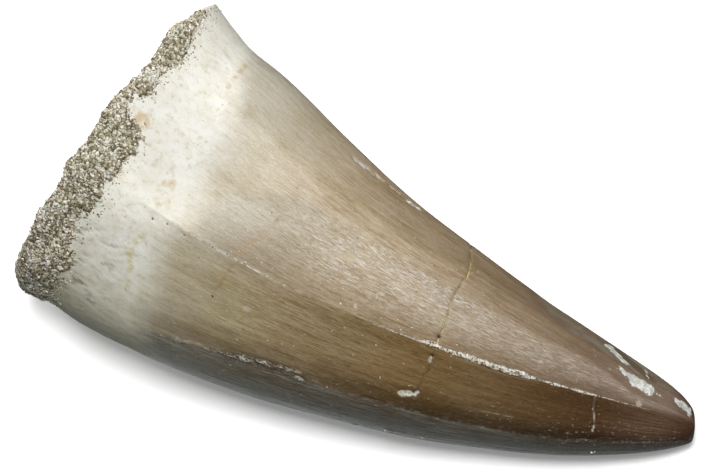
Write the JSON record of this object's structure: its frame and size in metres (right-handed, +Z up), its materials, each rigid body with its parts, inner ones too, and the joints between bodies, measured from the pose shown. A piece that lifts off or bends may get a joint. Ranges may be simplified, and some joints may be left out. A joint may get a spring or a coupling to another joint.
{
  "type": "fossil mosasaur tooth",
  "caption": "Fossil mosasaur tooth lying on its side: a stout, lightly curved crown with a cutting ridge and worn tip, sandy rock cemented over its broken root",
  "frame": {"origin": "middle of the underside, on the surface the tooth lies on", "axes": "+Z up, +X from the root to the tip, and the tooth bows towards -Y, the side with the main cutting ridge"},
  "size_m": [0.067, 0.0346, 0.0315],
  "materials": {
    "enamel": "polished fossil enamel, cream at the root, tan to dark brown towards the tip, fine lengthwise grain",
    "sandstone": "rough grey-brown sandy rock with glassy grains"
  },
  "bodies": {
    "root": {"tooth": "enamel", "matrix": "sandstone"}
  },
  "joints": []
}
